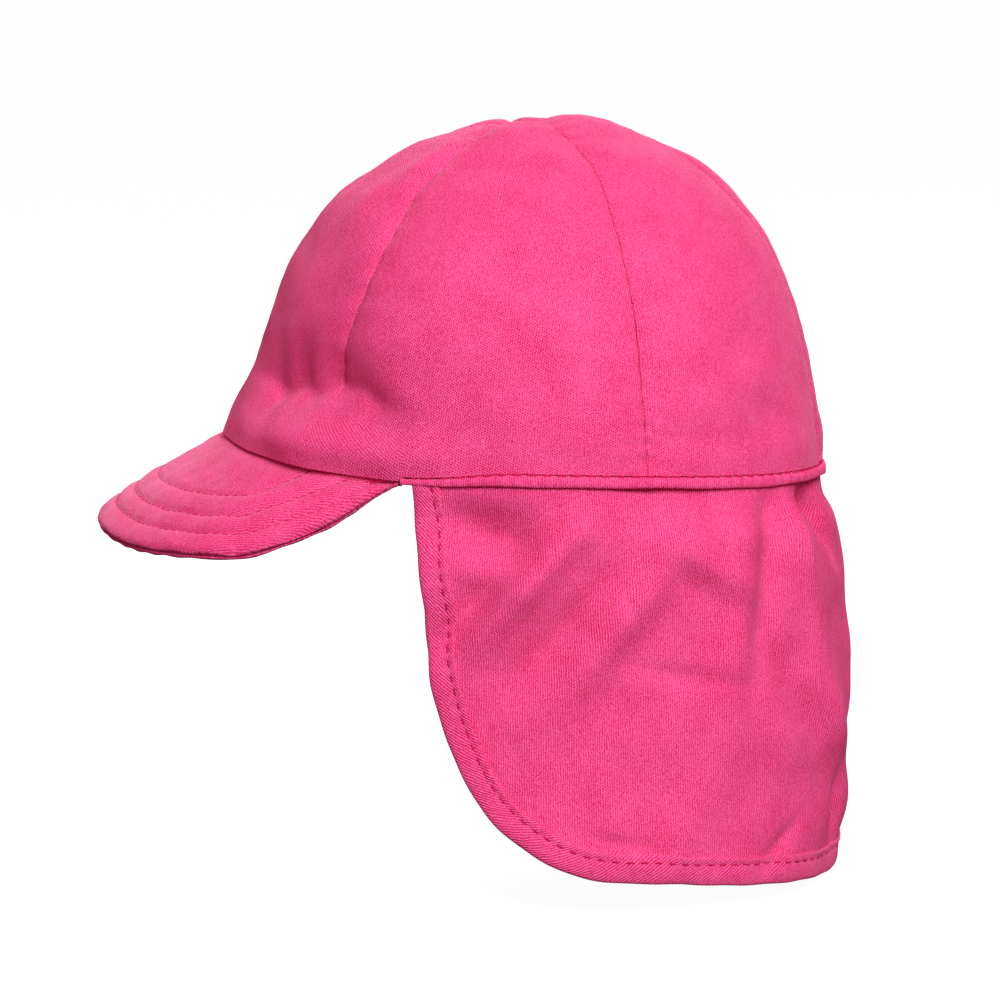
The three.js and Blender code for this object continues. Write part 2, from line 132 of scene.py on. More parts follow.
CROWN_HEIGHTS = [0.0, 0.12, 0.26, 0.42, 0.58, 0.73, 0.86, 0.95, 0.99, 1.0]
CROWN_FRONT = [1.0, 0.945, 0.885, 0.825, 0.745, 0.63, 0.45, 0.255, 0.12, 0.0]
CROWN_SIDE = [1.0, 1.0, 0.985, 0.945, 0.865, 0.75, 0.57, 0.35, 0.17, 0.0]
CROWN_BACK = [1.0, 0.995, 0.965, 0.925, 0.855, 0.755, 0.605, 0.4, 0.21, 0.0]

# Angle, height up the crown, spread in degrees, how tall, and depth, as shares of the crown's height.
CROWN_DENTS = [
    (-55, 0.25, 16, 0.1, 0.036),
    (54, 0.075, 24, 0.065, -0.024),
    (-46, 0.12, 24, 0.06, -0.012),
    (149, 0.41, 9, 0.07, 0.015),
    (155, 0.19, 8, 0.06, 0.014),
    (136, 0.13, 10, 0.05, 0.01),
    (-150, 0.33, 11, 0.08, 0.014),
    (165, 1.0, 50, 0.04, -0.016),
    (0, 0.97, 45, 0.03, 0.009),
    (66, 0.93, 7, 0.04, -0.011),
    (52, 0.86, 6, 0.055, -0.016),
    (43, 0.77, 6, 0.065, -0.013),
    (27, 0.24, 6, 0.07, -0.008),
    (-64, 0.2, 5, 0.04, 0.01),
    (-44, 0.21, 5, 0.05, 0.01),
]
SEAM_ANGLES = [0, FRONT_SEAM_ANGLE, BACK_SEAM_ANGLE, 180, -BACK_SEAM_ANGLE, -FRONT_SEAM_ANGLE]

# The long dent above the left side of the peak ends below in pleats, whose lower ends are given as
# angle and height. Backwards it fades out at a line given as height and angle.
PLEAT_ANGLES = [10, 28, 34, 40, 46, 51, 56, 60, 66, 76, 92]
PLEAT_HEIGHTS = [0.21, 0.2, 0.155, 0.215, 0.18, 0.235, 0.215, 0.25, 0.2, 0.195, 0.22]
PLEAT_SOFTENING = (-2.4, -0.8, 0.8, 2.4)  # degrees aside over which the pleats' ends are averaged
PLEAT_DEPTH = 8.2
PLEAT_SHARPNESS = 0.013
PLEAT_SHELF = 0.6  # share of the depth that is reached below the pleats' ends
PLEAT_REACH = 0.15  # how far above them the dent fades
DENT_END_HEIGHTS = [0.1, 0.17, 0.22, 0.28, 0.33, 0.42, 0.5]
DENT_END_ANGLES = [80, 76, 72, 67, 64, 60, 57]
DENT_PAST_END = 7  # degrees past that line at which it is gone
DENT_EASE = 22  # degrees over which it fades there
DENT_FRONT_ANGLE = 33  # where it begins to fade forwards
DENT_FRONT_SPREAD = 13

# How far the front seams stray from their straight course, in degrees, at heights up the crown.
DRIFT_HEIGHTS = [0.0, 0.27, 0.4, 0.56, 0.68, 0.8, 0.9, 0.97, 1.0]
SEAM_DRIFT = [-6.0, -4.0, -2.0, 1.5, 3.5, 3.0, 6.0, 8.0, 8.0]


def through_rows(values, share):
    """A value on a smooth curve through evenly spaced rows."""
    values = np.asarray(values, float)
    last = len(values) - 1
    place = np.clip(share, 0, 1) * last
    row = np.minimum(place.astype(int), last - 1)
    a, b, c, d = (values[np.clip(row + step, 0, last)] for step in (-1, 0, 1, 2))
    f = place - row
    return b + f / 2 * (c - a + f * (2 * a - 5 * b + 4 * c - d + f * (3 * (b - c) + d - a)))


def bell(x):
    return np.exp(-x * x)


def unit(vectors):
    return vectors / np.linalg.norm(vectors, axis=-1, keepdims=True)


def edge_turn(distance, radius):
    """How far a face falls as it turns over an edge at this distance, as a share of the radius."""
    turned = np.clip(1 - distance / radius, 0, 1)
    return 1 - np.sqrt(1 - turned**2)


def smooth(x, low, high):
    t = np.clip((x - low) / (high - low), 0, 1)
    return t * t * (3 - 2 * t)


def angle_between(a, b):
    return np.abs((a - b + 180) % 360 - 180)


def rim_height(angle):
    forward = np.cos(np.radians(angle))
    return np.where(forward > 0, RIM_FRONT_RISE, -RIM_BACK_DROP) * forward**2


def hem_growth(angle):
    """How much of its full height the hem has: it swells out of the crown's edge beside the peak."""
    return HEM_START + (1 - HEM_START) * smooth(angle_between(angle, 0), PEAK_SEAM_ANGLE, HEM_GROWN)


def hem_level(angle, up):
    """Height above the rim's line of a point of the hem's full section."""
    start = HEM_START_DROP * (1 - smooth(angle_between(angle, 0), PEAK_SEAM_ANGLE, HEM_GROWN))
    return HEM_BOTTOM - start + (up - HEM_BOTTOM) * hem_growth(angle)


def seam_open(angle, height):
    """How plainly a seam shows: less at the hem, and where the bulge over the peak stretches it."""
    at_front = bell((np.abs(angle) - FRONT_SEAM_ANGLE) / FRONT_SEAM_SPREAD)
    above = smooth(height, SEAM_FLAT_BELOW - SEAM_FLAT_EASE, SEAM_FLAT_BELOW + SEAM_FLAT_EASE)
    at_foot = SEAM_FOOT_SHARE + (1 - SEAM_FOOT_SHARE) * smooth(height, 0, SEAM_FOOT_EASE)
    return (1 - SEAM_FLAT_SHARE * at_front * (1 - above)) * at_foot


def soft_waves(points, size, seed, count=16):
    """Smooth unevenness of cloth, about 1 deep, in waves of about the size given."""
    rng = np.random.default_rng(seed)
    total = 0
    for _ in range(count):
        heading = unit(rng.normal(size=3))
        length = size * rng.uniform(0.7, 1.6)
        shift = rng.uniform(0, 2 * math.pi)
        total = total + np.sin(points @ heading * (2 * math.pi / length) + shift)
    return total / math.sqrt(count / 2)


def crown_point(cut_angle, share, offset=0.0):
    """A point of the crown, at an angle counted as the panels are cut and a share of the way up."""
    height = through_rows(CROWN_HEIGHTS, share)
    at_front = bell((np.abs(cut_angle) - FRONT_SEAM_ANGLE) / FRONT_SEAM_SPREAD)
    drift = np.interp(height, DRIFT_HEIGHTS, SEAM_DRIFT) * at_front
    angle = cut_angle + np.sign(cut_angle) * drift
    sin, cos = np.sin(np.radians(angle)), np.cos(np.radians(angle))
    front, side, back = (through_rows(line, share) for line in (CROWN_FRONT, CROWN_SIDE, CROWN_BACK))
    step = np.clip((angle_between(angle, 0) - PEAK_SEAM_ANGLE) / HEM_STEP + 1, 0, 1)
    foot = rim_height(angle)
    hem_top = hem_level(angle, HEM_HEIGHT) + CROWN_FOOT_GAP
    over_hem = step * hem_top * np.maximum(1 - height / OVER_HEM, 0)
    x = HEAD_WIDTH / 2 * side * sin
    y = -HEAD_LENGTH / 2 * np.where(cos > 0, front, back) * cos
    z = foot + (CROWN_HEIGHT - foot) * height + over_hem
    steepness = np.maximum(z, 0) / (2 * CROWN_HEIGHT) ** 2
    out = unit(np.stack([x / HEAD_WIDTH**2, y / HEAD_LENGTH**2, steepness], -1))
    radius = np.hypot(x, y)

    seams = np.stack([np.radians(angle_between(cut_angle, seam)) * radius for seam in SEAM_ANGLES])
    nearest = seams.min(0)
    shows = seam_open(cut_angle, height)
    inward = SEAM_DEPTH * bell(nearest / SEAM_WIDTH) * shows
    inward += SEAM_CREASE_DEPTH * bell(nearest / SEAM_CREASE_WIDTH) * shows
    inward += DIMPLE_DEPTH * bell(radius / DIMPLE_RADIUS)
    pleats = sum(np.interp(angle + aside, PLEAT_ANGLES, PLEAT_HEIGHTS) for aside in PLEAT_SOFTENING)
    pleats = pleats / len(PLEAT_SOFTENING)
    above = height - pleats
    past_end = 1 / (1 + np.exp(-np.clip(above / PLEAT_SHARPNESS, -40, 40)))
    opening = smooth(height, 0.04, pleats + 0.02) * (PLEAT_SHELF + (1 - PLEAT_SHELF) * past_end)
    fading = np.exp(-(np.maximum(above, 0) / PLEAT_REACH) ** 1.3)
    dent_end = np.interp(height, DENT_END_HEIGHTS, DENT_END_ANGLES)
    dent_width = smooth(dent_end + DENT_PAST_END - angle, 0, DENT_EASE)
    dent_width *= bell(np.maximum(DENT_FRONT_ANGLE - angle, 0) / DENT_FRONT_SPREAD)
    inward += PLEAT_DEPTH * opening * fading * dent_width
    for at, up, spread, tall, depth in CROWN_DENTS:
        dented = bell(angle_between(angle, at) / spread) * bell((height - up) / tall)
        inward += depth * CROWN_HEIGHT * dented
    points = np.stack([x, y, z], -1)
    stagger = np.where(np.sin(np.radians(cut_angle * 7.3)) > 0, 0.0, PUCKER_STAGGER)
    stagger = stagger + PUCKER_DISORDER * soft_waves(points, 30, 5)
    pucker = np.sin(2 * math.pi * share * CROWN_CLIMB / PUCKER_PITCH + stagger)
    inward -= PUCKER_HEIGHT * pucker * np.exp(-nearest / PUCKER_REACH) * smooth(radius, 4, 16) * shows
    for depth, size, seed in CLOTH_UNEVEN:
        inward += depth * soft_waves(points, size, seed)
    return points + out * (offset - inward)[..., None]


def closed_mesh(name, points, faces, flat, material):
    """A mesh in metres from points in millimetres, facing out, with the flat cloth's places as UVs."""
    corners = points[np.array([face[:3] for face in faces])]
    volume = np.einsum("ij,ij->i", corners[:, 0], np.cross(corners[:, 1], corners[:, 2])).sum()
    if volume < 0:
        faces = [face[::-1] for face in faces]
    mesh = bpy.data.meshes.new(name)
    mesh.from_pydata((points * MM).tolist(), [], faces)
    layer = mesh.uv_layers.new(name="cloth")
    loops = np.empty(len(mesh.loops), dtype=np.int32)
    mesh.loops.foreach_get("vertex_index", loops)
    layer.data.foreach_set("uv", flat[loops].astype(np.float32).ravel())
    mesh.shade_smooth()
    mesh.materials.append(material)
    piece = bpy.data.objects.new(name, mesh)
    bpy.context.scene.collection.objects.link(piece)
    return piece


def wall(name, outer, inner, flat, material):
    """A closed wall between two grids of points."""
    rows, columns = outer.shape[:2]
    count = rows * columns
    points = np.concatenate([outer.reshape(-1, 3), inner.reshape(-1, 3)])
    top = np.arange(count).reshape(rows, columns)
    low = top + count

    def quads(a, b, c, d):
        return np.stack([a, b, c, d], -1).reshape(-1, 4)

    faces = np.concatenate([
        quads(top[:-1, :-1], top[:-1, 1:], top[1:, 1:], top[1:, :-1]),
        quads(low[:-1, :-1], low[1:, :-1], low[1:, 1:], low[:-1, 1:]),
        quads(top[0, :-1], low[0, :-1], low[0, 1:], top[0, 1:]),
        quads(top[-1, :-1], top[-1, 1:], low[-1, 1:], low[-1, :-1]),
        quads(top[:-1, 0], top[1:, 0], low[1:, 0], low[:-1, 0]),
        quads(top[:-1, -1], low[:-1, -1], low[1:, -1], top[1:, -1]),
    ]).tolist()
    return closed_mesh(name, points, faces, np.tile(flat.reshape(-1, 2), (2, 1)), material)


def along_grid(points, axis):
    """Distance run along a grid of points."""
    steps = np.linalg.norm(np.diff(points, axis=axis), axis=-1)
    return np.concatenate([np.zeros_like(steps.take([0], axis)), np.cumsum(steps, axis)], axis)


def add_node(tree, kind, inputs=(), **settings):
    """A shader or geometry node with its settings, and its inputs set or linked in order."""
    node = tree.nodes.new(kind)
    for key, value in settings.items():
        setattr(node, key, value)
    for slot, value in dict(inputs).items():
        if isinstance(value, bpy.types.NodeSocket):
            tree.links.new(value, node.inputs[slot])
        else:
            node.inputs[slot].default_value = value
    return node


def maths(tree, operation, a, b=0.0, c=0.0):
    return add_node(tree, "ShaderNodeMath", {0: a, 1: b, 2: c}, operation=operation).outputs[0]


NAP_SHADING = 2.4  # how strongly the nap's and knit's painted shade and the uneven dyeing show in the colour
KNIT_SHADING = 0.4
DYE_TONE = 0.5
TONE_DROP = 0.95
LEG_SLOPE = 1.6
LEG_PITCH = 1.9  # in wales


def knit_material(name, light, dark, wale, slant, twill, relief, sheen):
    """Jersey: upright wales crossed by slanting stitch legs, a nap, uneven dyeing, painted yarn shade.
    """
    material = bpy.data.materials.new(name)
    material.use_nodes = True
    tree = material.node_tree
    tree.nodes.clear()
    cloth = add_node(tree, "ShaderNodeUVMap", uv_map="cloth").outputs[0]
    wobble = add_node(tree, "ShaderNodeTexNoise", {"Vector": cloth, "Scale": 0.3, "Detail": 2.0})
    split = add_node(tree, "ShaderNodeSeparateXYZ", {0: cloth})
    across = maths(tree, "MULTIPLY_ADD", wobble.outputs[0], 1.4 * wale, split.outputs[0])

    def ribs(slope, pitch):
        place = maths(tree, "MULTIPLY_ADD", split.outputs[1], slope, across)
        return maths(tree, "SINE", maths(tree, "MULTIPLY", place, 2 * math.pi / pitch))

    legs = maths(tree, "MULTIPLY", ribs(LEG_SLOPE, LEG_PITCH * wale), twill)
    knit = maths(tree, "MULTIPLY_ADD", ribs(slant, wale), 1 - twill, legs)

    place = add_node(tree, "ShaderNodeTexCoord").outputs["Object"]
    patches = add_node(
        tree, "ShaderNodeTexNoise", {"Vector": place, "Scale": 90.0, "Detail": 3.0}
    ).outputs[0]
    nap = add_node(
        tree, "ShaderNodeTexNoise", {"Vector": place, "Scale": 2400.0, "Detail": 2.0, "Roughness": 0.7}
    ).outputs[0]
    # The knit and the nap, which also make the bump, darken the colour in their grooves and lighten it
    # on their tops: painted light and shade on the yarns. Only the broad patches are uneven dyeing.
    tone = maths(tree, "MULTIPLY_ADD", knit, KNIT_SHADING, maths(tree, "MULTIPLY", nap, NAP_SHADING))
    tone = maths(tree, "MULTIPLY_ADD", patches, DYE_TONE, maths(tree, "SUBTRACT", tone, TONE_DROP))
    dye_and_shade = add_node(
        tree, "ShaderNodeMix", {"Factor": tone, "A": (*dark, 1), "B": (*light, 1)}, data_type="RGBA"
    ).outputs[2]
    height = maths(tree, "MULTIPLY_ADD", nap, 2.0, knit)
    bump = add_node(tree, "ShaderNodeBump", {"Strength": relief, "Distance": 0.0001, "Height": height})
    shader = add_node(tree, "ShaderNodeBsdfPrincipled", {"Base Color": dye_and_shade, "Normal": bump.outputs[0]})
    shader.inputs["Roughness"].default_value = 0.95
    shader.inputs["Specular IOR Level"].default_value = 0.12
    shader.inputs["Sheen Weight"].default_value = sheen
    shader.inputs["Sheen Roughness"].default_value = 0.3
    shader.inputs["Sheen Tint"].default_value = (1, 0.7, 0.88, 1)
    add_node(tree, "ShaderNodeOutputMaterial", {0: shader.outputs[0]})
    return material


LIGHT_PINK = (0.94, 0.134, 0.372)
DEEP_PINK = (0.62, 0.006, 0.088)
knit = knit_material(
    "pink knit", light=LIGHT_PINK, dark=DEEP_PINK,
    wale=0.62, slant=0.0, twill=0.25, relief=0.8, sheen=0.04,
)
crown_knit = knit_material(
    "pink crown knit", light=LIGHT_PINK, dark=DEEP_PINK,
    wale=0.56, slant=0.0, twill=0.48, relief=0.8, sheen=0.18,
)


def crown_panel(name, node, from_seam, to_seam, grain):
    first_row = 1 / PANEL_ROWS
    shares = np.linspace(first_row, 1 - TIP_RADIUS / (HEAD_WIDTH / 2), PANEL_ROWS)
    shares = np.concatenate([FOOT_STEPS * first_row, shares])
    radius = np.maximum(HEAD_WIDTH / 2 * through_rows(CROWN_SIDE, shares), TIP_RADIUS)[:, None]
    width = np.radians(to_seam - from_seam) * radius
    insets = SEAM_INSETS * np.minimum(1, width / (4 * SEAM_INSETS[-1]))
    edge = np.degrees(insets / radius)
    middle = np.linspace(0, 1, PANEL_COLUMNS)[1:-1]
    low, high = from_seam + edge[:, -1:], to_seam - edge[:, -1:]
    between = low + (high - low) * middle
    angles = np.concatenate([from_seam + edge, between, (to_seam - edge)[:, ::-1]], 1)
    shares = np.broadcast_to(shares[:, None], angles.shape)
    from_edge = np.radians(np.minimum(angles - from_seam, to_seam - angles)) * radius
    roll = SEAM_ROLL * edge_turn(from_edge, SEAM_ROLL)
    roll *= seam_open(angles, through_rows(CROWN_HEIGHTS, shares))
    roll = np.maximum(roll, CROWN_FOOT_ROLL * edge_turn(shares * CROWN_CLIMB, CROWN_FOOT_ROLL))
    outer = crown_point(angles, shares, -roll)
    meeting = angles.copy()
    meeting[:, 0] = from_seam + np.degrees(SEAM_MEETING / radius[:, 0])
    meeting[:, -1] = to_seam - np.degrees(SEAM_MEETING / radius[:, 0])
    inner = crown_point(meeting, shares, -CROWN_CLOTH)
    across = np.radians(angles - (from_seam + to_seam) / 2) * radius
    up = along_grid(outer[:, outer.shape[1] // 2], 0)[:, None]
    flat = np.stack([across + grain * up, np.broadcast_to(up, across.shape)], -1)
    piece = wall(name, outer, inner, flat, crown_knit)
    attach(piece, "root")
    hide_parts(node)
    return piece


for label, from_seam, to_seam in [
    ("front", 0, FRONT_SEAM_ANGLE),
    ("side", FRONT_SEAM_ANGLE, BACK_SEAM_ANGLE),
    ("back", BACK_SEAM_ANGLE, 180),
]:
    crown_panel(f"crown_{label}_left", f"crown_panel_{label}_left", from_seam, to_seam, -0.1)
    crown_panel(f"crown_{label}_right", f"crown_panel_{label}_right", -to_seam, -from_seam, 0.1)

# Rim hem
# The crown's lower edge, rolled up and stitched down, so it stands a little proud above the flap. It
# puckers slightly between its stitches. It runs from one end of the peak round the nape to the other.
HEM_PUCKER = 0.32
HEM_SAGS = [(0.14, 9.1, 0), (0.1, 3.7, 1)]  # waves along it: height, length over two pi and shift
HEM_SEAM_BUMP = 0.35  # how much prouder it stands over each seam of the crown
HEM_SEAM_SPREAD = 1.6
HEM_STATIONS = 900
STITCH_PITCH = 4

# Out past the crown and up from the hem's lower edge, going round the section.
HEM_SECTION = np.array([
    (-1.4, 1.05), (-0.8, 0.95), (-0.35, 0.75), (0.05, 0.35), (0.45, 0.2),
    (0.8, 0.42), (1.0, 0.9), (1.04, 1.5), (0.96, 2.05), (0.78, 2.55),
    (0.48, 2.9), (0.1, 3.1), (-0.35, 3.22), (-0.8, 3.38), (-1.4, 3.4),
])


def rim_point(angle, offset=0.0):
    sin, cos = np.sin(np.radians(angle)), np.cos(np.radians(angle))
    out = unit(np.stack([sin / HEAD_WIDTH, -cos / HEAD_LENGTH], -1))
    x = HEAD_WIDTH / 2 * sin + out[..., 0] * offset
    y = -HEAD_LENGTH / 2 * cos + out[..., 1] * offset
    return np.stack([x, y, rim_height(angle)], -1)


def wavering(run, waves):
    """The unevenness of a line: waves given as height, length over two pi and shift."""
    return sum(height * np.sin(run / length + shift) for height, length, shift in waves)


def bar(name, rings, flat, material):
    """A closed bar from a row of rings of points."""
    steps, count = rings.shape[:2]
    ring = np.arange(steps * count).reshape(steps, count)
    following = np.roll(ring, -1, axis=1)
    sides = np.stack([ring[:-1], following[:-1], following[1:], ring[1:]], -1).reshape(-1, 4).tolist()
    faces = sides + [ring[0][::-1].tolist(), ring[-1].tolist()]
    return closed_mesh(name, rings.reshape(-1, 3), faces, flat.reshape(-1, 2), material)


hem_angles = np.linspace(PEAK_SEAM_ANGLE + 0.05, 360 - PEAK_SEAM_ANGLE - 0.05, HEM_STATIONS)
growth = hem_growth(hem_angles)
hem_run = along_grid(rim_point(hem_angles), 0)
sag = wavering(hem_run, HEM_SAGS)
seam_bump = HEM_SEAM_BUMP * sum(
    bell(angle_between(hem_angles, seam) / HEM_SEAM_SPREAD) for seam in SEAM_ANGLES
)
hem_rings = []
for out, up in HEM_SECTION:
    pucker = HEM_PUCKER * np.cos(2 * math.pi * hem_run / STITCH_PITCH)
    pucker *= np.clip(up / HEM_HEIGHT, 0, 1) * (out > -0.1)
    proud = (out + pucker + seam_bump + 0.5 * sag) * growth if out > 0 else out
    line = rim_point(hem_angles, proud)
    line[:, 2] += hem_level(hem_angles, up)
    if up < 2 and out > 0:
        line[:, 2] += sag * growth
    hem_rings.append(line)
hem_rings = np.stack(hem_rings, 1)
hem_round = np.concatenate([[0], np.cumsum(np.linalg.norm(np.diff(HEM_SECTION, axis=0), axis=1))])
hem_flat = np.stack(np.broadcast_arrays(hem_run[:, None], hem_round[None, :]), -1)
hem = bar("hem", hem_rings, hem_flat, knit)
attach(hem, "root")
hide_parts("rim_hem")

# Neck flap
# A single piece of the same jersey, sewn into the hem and hanging round the neck. Its own weight and
# the seam above it pull it into soft slanting folds. Its points are given as along the rim and down.
FLAP_START_ANGLE = 77
FLAP_LENGTH = 108.5
FLAP_NAPE_DIP = 3
FLAP_CLOTH = 1.2
FLAP_FLARE = 7
FLAP_EDGE_LEAN = 4.4
CORNER_WIDTH = 56.5
CORNER_HEIGHT = 74.5
EDGE_STEPS = 200  # points of each of the edge's three curves
EDGE_BULGES = [(19, 9, 1.2), (57, 15, -1.5)]  # along, spread and how far down
EDGE_RISE = 0.6
EDGE_RISE_ALONG = (45, 75)
FLAP_TUCK = 0.6
FOLD_GAIN = 1.5  # the folds are half as deep again as in the solids
FLAP_EMERGES = 14  # below the seam, where the flap has its full flare
FOLDS_EMERGE = 9  # and its folds their full depth
FLAP_NAPE_ANGLES = (105, 165)  # between these the side's shape passes into the back's
FLAP_UNEVEN = [(0.3, 30, 21), (0.12, 12, 22)]  # height, size and seed
GAPE_REACH = 9
GATHER_HEIGHT = 0.2
GATHER_REACH = 6
FLAP_TOP_GAP = 0.05
FLAP_CURL = 2.0  # how far its front edge flares
FLAP_CURL_REACH = 9
FLAP_CURL_GROWN = 55
FLAP_LIFT = 0.75  # how far its top edge reaches up behind the hem's lip
FLAP_LIFT_REACH = 8
FLAP_COLUMNS = 300
FLAP_ROWS = 124

FLAP_SIDE = [0.0, 0.12, 0.1, 0.05, 0.1, 0.25, 0.45, 0.65, 0.8]
FLAP_BACK = [0.0, 0.48, 0.7, 0.7, 0.88, 1.0, 0.8, 0.86, 0.62]

# Along, as a share of the flap's width; drop, as a share of its length; lean from upright in degrees;
# then length, width and rise, as shares of its length.
FLAP_FOLDS = [
    (0.07, 0.125, 87, 0.26, 0.1, -0.03),
    (0.07, 0.2, 70, 0.24, 0.05, 0.012),
    (0.122, 0.215, -41, 0.46, 0.045, 0.028),
    (0.068, 0.29, -41, 0.34, 0.045, -0.022),
    (0.2, 0.34, -38, 0.5, 0.055, 0.023),
    (0.138, 0.39, -38, 0.46, 0.05, -0.022),
    (0.29, 0.2, 58, 0.3, 0.05, 0.016),
    (0.32, 0.3, -6, 0.7, 0.06, 0.01),
    (0.43, 0.42, 8, 0.5, 0.06, 0.012),
    (0.46, 0.66, 34, 0.5, 0.06, 0.018),
    (0.56, 0.34, -6, 0.6, 0.06, 0.016),
    (0.63, 0.42, -10, 0.7, 0.06, -0.018),
    (0.74, 0.5, 22, 0.6, 0.07, 0.018),
    (0.86, 0.34, 14, 0.5, 0.06, -0.018),
    (0.358, 0.19, -11, 0.5, 0.045, -0.022),
    (0.075, 0.13, 93, 0.22, 0.05, -0.018),
    (0.402, 0.13, 8, 0.32, 0.034, 0.018),
    (0.46, 0.09, 42, 0.28, 0.042, -0.054),
    (0.49, 0.16, 20, 0.3, 0.04, 0.006),
    (0.388, 0.53, 32, 0.42, 0.04, -0.015),
    (0.285, 0.235, 62, 0.3, 0.05, -0.008),
    (0.21, 0.29, 20, 0.12, 0.012, -0.006),
    (0.27, 0.47, 80, 0.3, 0.025, -0.006),
    (0.37, 0.9, -48, 0.16, 0.025, -0.01),
    (0.2, 0.885, 80, 0.15, 0.018, -0.007),
    (0.215, 0.93, 84, 0.15, 0.018, 0.005),
    (0.47, 0.86, 4, 0.22, 0.03, -0.014),
    (0.655, 0.16, 12, 0.36, 0.025, -0.014),
    (0.72, 0.12, -30, 0.22, 0.025, 0.01),
    (0.9, 0.12, -50, 0.24, 0.035, -0.016),
]

# Where the hem gapes away from the flap: along and width as shares of the flap's width, then depth.
FLAP_GAPES = [
    (0.225, 0.03, 1.5),
    (0.28, 0.03, 1.0),
    (0.452, 0.024, 2.6),
    (0.7, 0.04, 1.2),
    (0.56, 0.02, 0.8),
]

rim_angles = np.linspace(FLAP_START_ANGLE, 360 - FLAP_START_ANGLE, 2001)
rim_run = along_grid(rim_point(rim_angles), 0)
FLAP_WIDTH = rim_run[-1]


def flap_point(along, drop):
    within = np.clip(along, 0, FLAP_WIDTH)
    angle = np.interp(within, rim_run, rim_angles)
    towards_nape = smooth(180 - np.abs(angle - 180), *FLAP_NAPE_ANGLES)
    fall = drop / FLAP_LENGTH
    side, back = through_rows(FLAP_SIDE, fall), through_rows(FLAP_BACK, fall)
    emerged = smooth(drop, 0, FLAP_EMERGES)
    folded = smooth(drop, 0, FOLDS_EMERGE)
    out = FLAP_FLARE * (side + (back - side) * towards_nape) * emerged
    out -= (FLAP_TUCK + FLAP_CLOTH / 2) * (1 - emerged)
    for at, down, lean, length, width, rise in FLAP_FOLDS:
        sin, cos = math.sin(math.radians(lean)), math.cos(math.radians(lean))
        dx = along - at * FLAP_WIDTH
        dy = drop - down * FLAP_LENGTH
        lengthwise = (dx * sin + dy * cos) / (length * FLAP_LENGTH)
        crosswise = (dx * cos - dy * sin) / (width * FLAP_LENGTH)
        out += FOLD_GAIN * rise * FLAP_LENGTH * bell(crosswise) * bell(2 * lengthwise) * folded
    flat = np.stack([along, drop, np.zeros_like(along)], -1)
    for height, size, seed in FLAP_UNEVEN:
        out += height * soft_waves(flat, size, seed) * emerged
    for at, width, depth in FLAP_GAPES:
        out -= depth * bell((along / FLAP_WIDTH - at) / width) * np.exp(-drop / GAPE_REACH)
    from_front = np.maximum(np.minimum(along, FLAP_WIDTH - along), 0)
    out += FLAP_CURL * np.exp(-from_front / FLAP_CURL_REACH) * smooth(drop, 0, FLAP_CURL_GROWN)
    gathers = np.sin(along / 2.9 + 2 * np.sin(along / 17))
    out += GATHER_HEIGHT * gathers * np.exp(-drop / GATHER_REACH) * smooth(drop, 0, 3)
    point = rim_point(angle, out)
    run = rim_point(angle + 0.5) - rim_point(angle - 0.5)
    run[..., 2] = 0
    point = point + unit(run) * (along - within)[..., None]
    lift = FLAP_LIFT * hem_growth(angle) * np.clip(1 - drop / FLAP_LIFT_REACH, 0, 1)
    point[..., 2] += lift - FLAP_TOP_GAP - drop
    return point


def flap_offset(along, drop, offset):
    step = 0.5
    run = flap_point(along + step, drop) - flap_point(along - step, drop)
    fall = flap_point(along, drop + step) - flap_point(along, np.maximum(drop - step, 0))
    out = unit(np.cross(fall, run))
    return flap_point(along, drop) + out * np.broadcast_to(offset, along.shape)[..., None]


def flap_edge_line():
    """The edge of the flap's left half: down its front, round its corner and along to the nape."""
    t = np.linspace(0, 1, EDGE_STEPS)[:, None]
    knee = np.array([FLAP_EDGE_LEAN, FLAP_LENGTH - CORNER_HEIGHT])
    front = t * knee
    turn = math.pi * (1 - t / 2)
    corner = knee + np.concatenate([CORNER_WIDTH * (1 + np.cos(turn)), CORNER_HEIGHT * np.sin(turn)], 1)
    foot = corner[-1]
    nape = np.array([FLAP_WIDTH / 2, FLAP_LENGTH + FLAP_NAPE_DIP])
    a = np.array([foot[0] + 0.4 * (nape[0] - foot[0]), foot[1]])
    b = np.array([foot[0] + 0.6 * (nape[0] - foot[0]), nape[1]])
    bottom = (1 - t) ** 3 * foot + 3 * t * (1 - t) ** 2 * a + 3 * t**2 * (1 - t) * b + t**3 * nape
    line = np.concatenate([front, corner[1:], bottom[1:]])
    for at, spread, depth in EDGE_BULGES:
        line[:, 1] += depth * bell((line[:, 0] - at) / spread)
    line[:, 1] -= EDGE_RISE * smooth(line[:, 0], *EDGE_RISE_ALONG)
    return line


edge_line = flap_edge_line()
edge_run = along_grid(edge_line, 0)
edge_tangent = unit(np.gradient(edge_line, axis=0))
FRONT_EDGE_SHARE = edge_run[EDGE_STEPS - 1] / edge_run[-1] / 2


def inside_edge(share, inward):
    """A flat point a distance in from the finished edge, at a share of the way round it."""
    run = (1 - np.abs(1 - 2 * share)) * edge_run[-1]
    x, y = (np.interp(run, edge_run, column) for column in edge_line.T)
    tx, ty = (np.interp(run, edge_run, column) for column in edge_tangent.T)
    x, y = x + ty * inward, y - tx * inward
    return np.where(share > 0.5, FLAP_WIDTH - x, x), np.maximum(y, 0)


